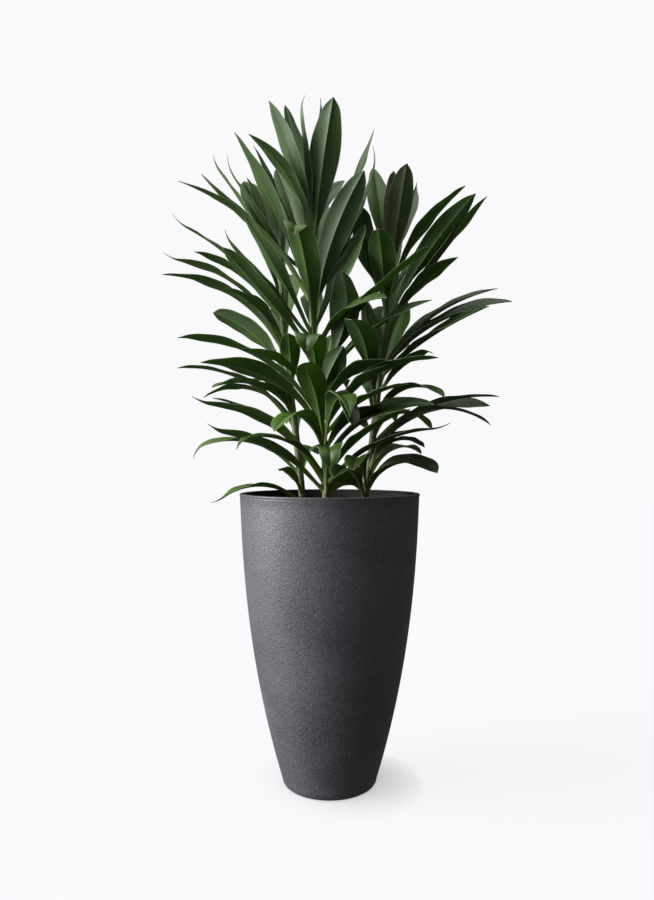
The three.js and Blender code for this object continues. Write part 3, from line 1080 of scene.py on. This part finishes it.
LEFT_CANE = Cane(
    node="left_cane",
    path=[(-40, 35, 400), (-57, 36, 580), (-65, 37, 645), (-76, 38, 735), (-87, 39, 825), (-90, 40, 915)],
    leaves=[
        Leaf(896, 169, 70, 284, 20, 34, 0, FRESH_AND_LIT, HAIR),
        Leaf(880, 145, 81, 245, 26, 60, -42, FRESH_AND_LIT, BLUNT), Leaf(886, 147, 80, 240, 20, 36, 0, FRESH_AND_LIT),
        Leaf(823, 185, 62.5, 285, 40.5, 30, 0, FRESH_AND_LIT, HAIR), Leaf(825, 194, 59, 206, 44, 36),
        Leaf(779, 182, 68.5, 294, 66, 34, 0, FRESH_AND_LIT, HAIR), Leaf(758, 190, 66.6, 284, 67, 42, 12, FRESH_AND_LIT),
        Leaf(782, 226, 56, 166, 48, 44, 0, OLIVE), Leaf(714, 173, 67.5, 202, 50, 46, 42, FRESH_AND_LIT, BLUNT),
        Leaf(630, 188, 60, 252, 66, 36, 0, FRESH_AND_LIT), Leaf(649, 230, 55, 150, 45, 44, 0, FRESH_AND_LIT),
        Leaf(661, 206, 52.5, 172, 77, 50, 0, FRESH_AND_LIT, BLUNT), Leaf(636, 178, 66, 200, 98, 30, 0, FRESH_AND_LIT),
        Leaf(650, 250, 58, 112, 25, 24, 0, FRESH_AND_LIT, HOOKED),
        Leaf(541, 192, 57, 230, 89, 34, 0, FRESH_AND_LIT, HOOKED),
        Leaf(491, 205, 45.5, 189, 90, 32, 0, FRESH_AND_LIT, HAIR), Leaf(509, 250, 48, 116, 44, 24, tip=BLUNT),
        Leaf(680, 270, 64, 158, 40, 36, 0, FRESH_AND_LIT, BLUNT),
    ],
    rear=RearRule(count=8, lowest=530, highest=870, turn=82, spread=40),
    seed=12,
)
RIGHT_CANE = Cane(
    node="right_cane",
    path=[(50, 15, 400), (74, 16, 580), (83, 17, 655), (93, 18, 745), (102, 19, 815), (108, 20, 905)],
    leaves=[
        Leaf(883, 338, 83, 226, 4, 48, -60, BRONZE, BLUNT),
        Leaf(889, 69, 84, 224, 6, 32, 20, BRONZE, BLUNT), Leaf(875, 105, 80, 275, 16, 48, 0, FRESH_AND_LIT),
        Leaf(813, 259, 80, 188, 50, 50, tip=BLUNT), Leaf(853, 348, 76, 255, 40, 38, -20),
        Leaf(865, 39, 55, 205, 24, 32, 0, FRESH_AND_LIT), Leaf(821, 331, 61, 268, 20, 48, -30),
        Leaf(808, 345, 53, 291, 3, 42), Leaf(783, 321, 64, 208, 46, 42, -10, DARK, BLUNT),
        Leaf(708, 53, 72, 198, 25, 50, 25, FRESH_AND_LIT), Leaf(730, 1, 59.3, 272, 47, 50, 22),
        Leaf(730, 343, 53, 270, 53, 56, 26, DARK, BLUNT), Leaf(720, 328, 40, 236, 24, 58, 16, DARK),
        Leaf(690, 312, 46, 150, 34, 34, 0, DARK, HOOKED),
        Leaf(655, 257, 66, 275, 70, 52, 0, DARK, BLUNT), Leaf(623, 312, 74, 204, 112, 46),
        Leaf(586, 11, 50, 256, 58, 46, 20, tip=BLUNT), Leaf(598, 350, 48, 250, 54, 36),
        Leaf(594, 356, 60, 246, 98, 28), Leaf(622, 29, 58, 154, 110, 42, 0, BACKLIT_LIME),
        Leaf(545, 309, 70.5, 170, 102, 38, 0, DARK), Leaf(497, 326, 78, 184, 115, 60, 26, DARK, BLUNT),
        Leaf(500, 255, 44, 238, 64, 50, 0, DARK), Leaf(516, 262, 48, 240, 74, 42, tip=BLUNT),
        Leaf(862, 160, 50, 190, -55, 44, -60, DARK, HOOKED),
        Leaf(514, 200, 40, 92, 60, 56, 55, DARK, BLUNT), Leaf(700, 225, 82, 165, 12, 46, 0, DARK),
    ],
    rear=RearRule(count=8, lowest=530, highest=870, turn=54, spread=40),
    seed=13,
)


@dataclass
class Studio:
    """The camera, the pale floor and the soft light."""

    camera_place: tuple[float, float, float] = (-0.0047, -1.357, 0.580)
    camera_tilt: float = 0.45
    lens: float = 30.4
    floor_radius: float = 9.0
    key_strength: float = 9.6
    key_size: float = 44.0
    key_azimuth: float = -80.0
    key_elevation: float = 20.0
    top_strength: float = 3.0
    top_size: float = 80.0
    towards_top: tuple[float, float, float] = (-0.25, -0.15, 1.0)
    surround: Colour = (0.945, 0.947, 0.958)
    fill_near_key: float = 0.32
    fill_away: float = 0.15
    fill_band: Band = (-0.6, 1.0)

    def camera(self) -> None:
        """Stands the camera where the photograph was taken from."""
        data = bpy.data.cameras.new("camera")
        data.lens = self.lens
        camera = bpy.data.objects.new("camera", data)
        camera.location = self.camera_place
        camera.rotation_euler = (math.radians(90 + self.camera_tilt), 0, 0)
        bpy.context.scene.collection.objects.link(camera)
        bpy.context.scene.camera = camera

    def floor(self) -> None:
        """Lays the floor as one large disc."""
        bm = bmesh.new()
        bmesh.ops.create_circle(bm, cap_ends=True, segments=96, radius=self.floor_radius)
        mesh = bpy.data.meshes.new("floor")
        bm.to_mesh(mesh)
        bm.free()
        mesh.materials.append(PaleFloor().material())
        floor = bpy.data.objects.new("floor", mesh)
        floor.visible_diffuse = False
        floor.visible_glossy = False
        floor.visible_transmission = False
        bpy.context.scene.collection.objects.link(floor)

    def lights(self) -> None:
        """Hangs one broad soft key light on the left and a weaker, broader one overhead."""
        for name, strength, size, towards in (
                ("key", self.key_strength, self.key_size, self.towards_key()),
                ("overhead", self.top_strength, self.top_size, Vector(self.towards_top))):
            data = bpy.data.lights.new(name, "SUN")
            data.energy = strength
            data.angle = math.radians(size)
            light = bpy.data.objects.new(name, data)
            light.rotation_euler = towards.to_track_quat("Z", "Y").to_euler()
            bpy.context.scene.collection.objects.link(light)

    def towards_key(self) -> Vector:
        """The direction from the object to the key light."""
        azimuth, elevation = math.radians(self.key_azimuth), math.radians(self.key_elevation)
        level = math.cos(elevation)
        return Vector((math.sin(azimuth) * level, -math.cos(azimuth) * level, math.sin(elevation)))

    def world(self) -> None:
        """Makes the surround: white to look at, and dimmer as a light."""
        bench = Bench("surround", "World")
        direction = bench.add("ShaderNodeTexCoord").outputs["Generated"]
        facing = bench.add("ShaderNodeVectorMath", {0: direction, 1: self.towards_key()},
                           operation="DOT_PRODUCT").outputs["Value"]
        levels = (facing, *self.fill_band, self.fill_away, self.fill_near_key)
        strength = bench.add("ShaderNodeMapRange", dict(enumerate(levels)), interpolation_type="SMOOTHSTEP")
        seen = bench.add("ShaderNodeBackground", {"Color": self.surround})
        lit = bench.add("ShaderNodeBackground", {"Strength": strength.outputs[0]})
        looked_at = bench.add("ShaderNodeLightPath").outputs["Is Camera Ray"]
        mix = bench.add("ShaderNodeMixShader", {0: looked_at, 1: lit.outputs[0], 2: seen.outputs[0]})
        bpy.context.scene.world = bench.finish(mix.outputs[0])

    def build(self) -> None:
        """Sets up the whole studio."""
        self.camera()
        self.floor()
        self.lights()
        self.world()
        bpy.context.scene.view_settings.view_transform = "Standard"


def main() -> None:
    """Builds the studio and then the object, piece by piece."""
    logging.basicConfig(level=logging.INFO, format="%(name)s: %(message)s")
    Studio().build()
    planter = Planter()
    planter.build()
    PottingMix(planter).build()
    skin = LeafSkin().material()
    bark = CaneBark().material()
    for cane in (MIDDLE_CANE, LEFT_CANE, RIGHT_CANE):
        cane.build(skin, bark)


if __name__ == "__main__":
    main()
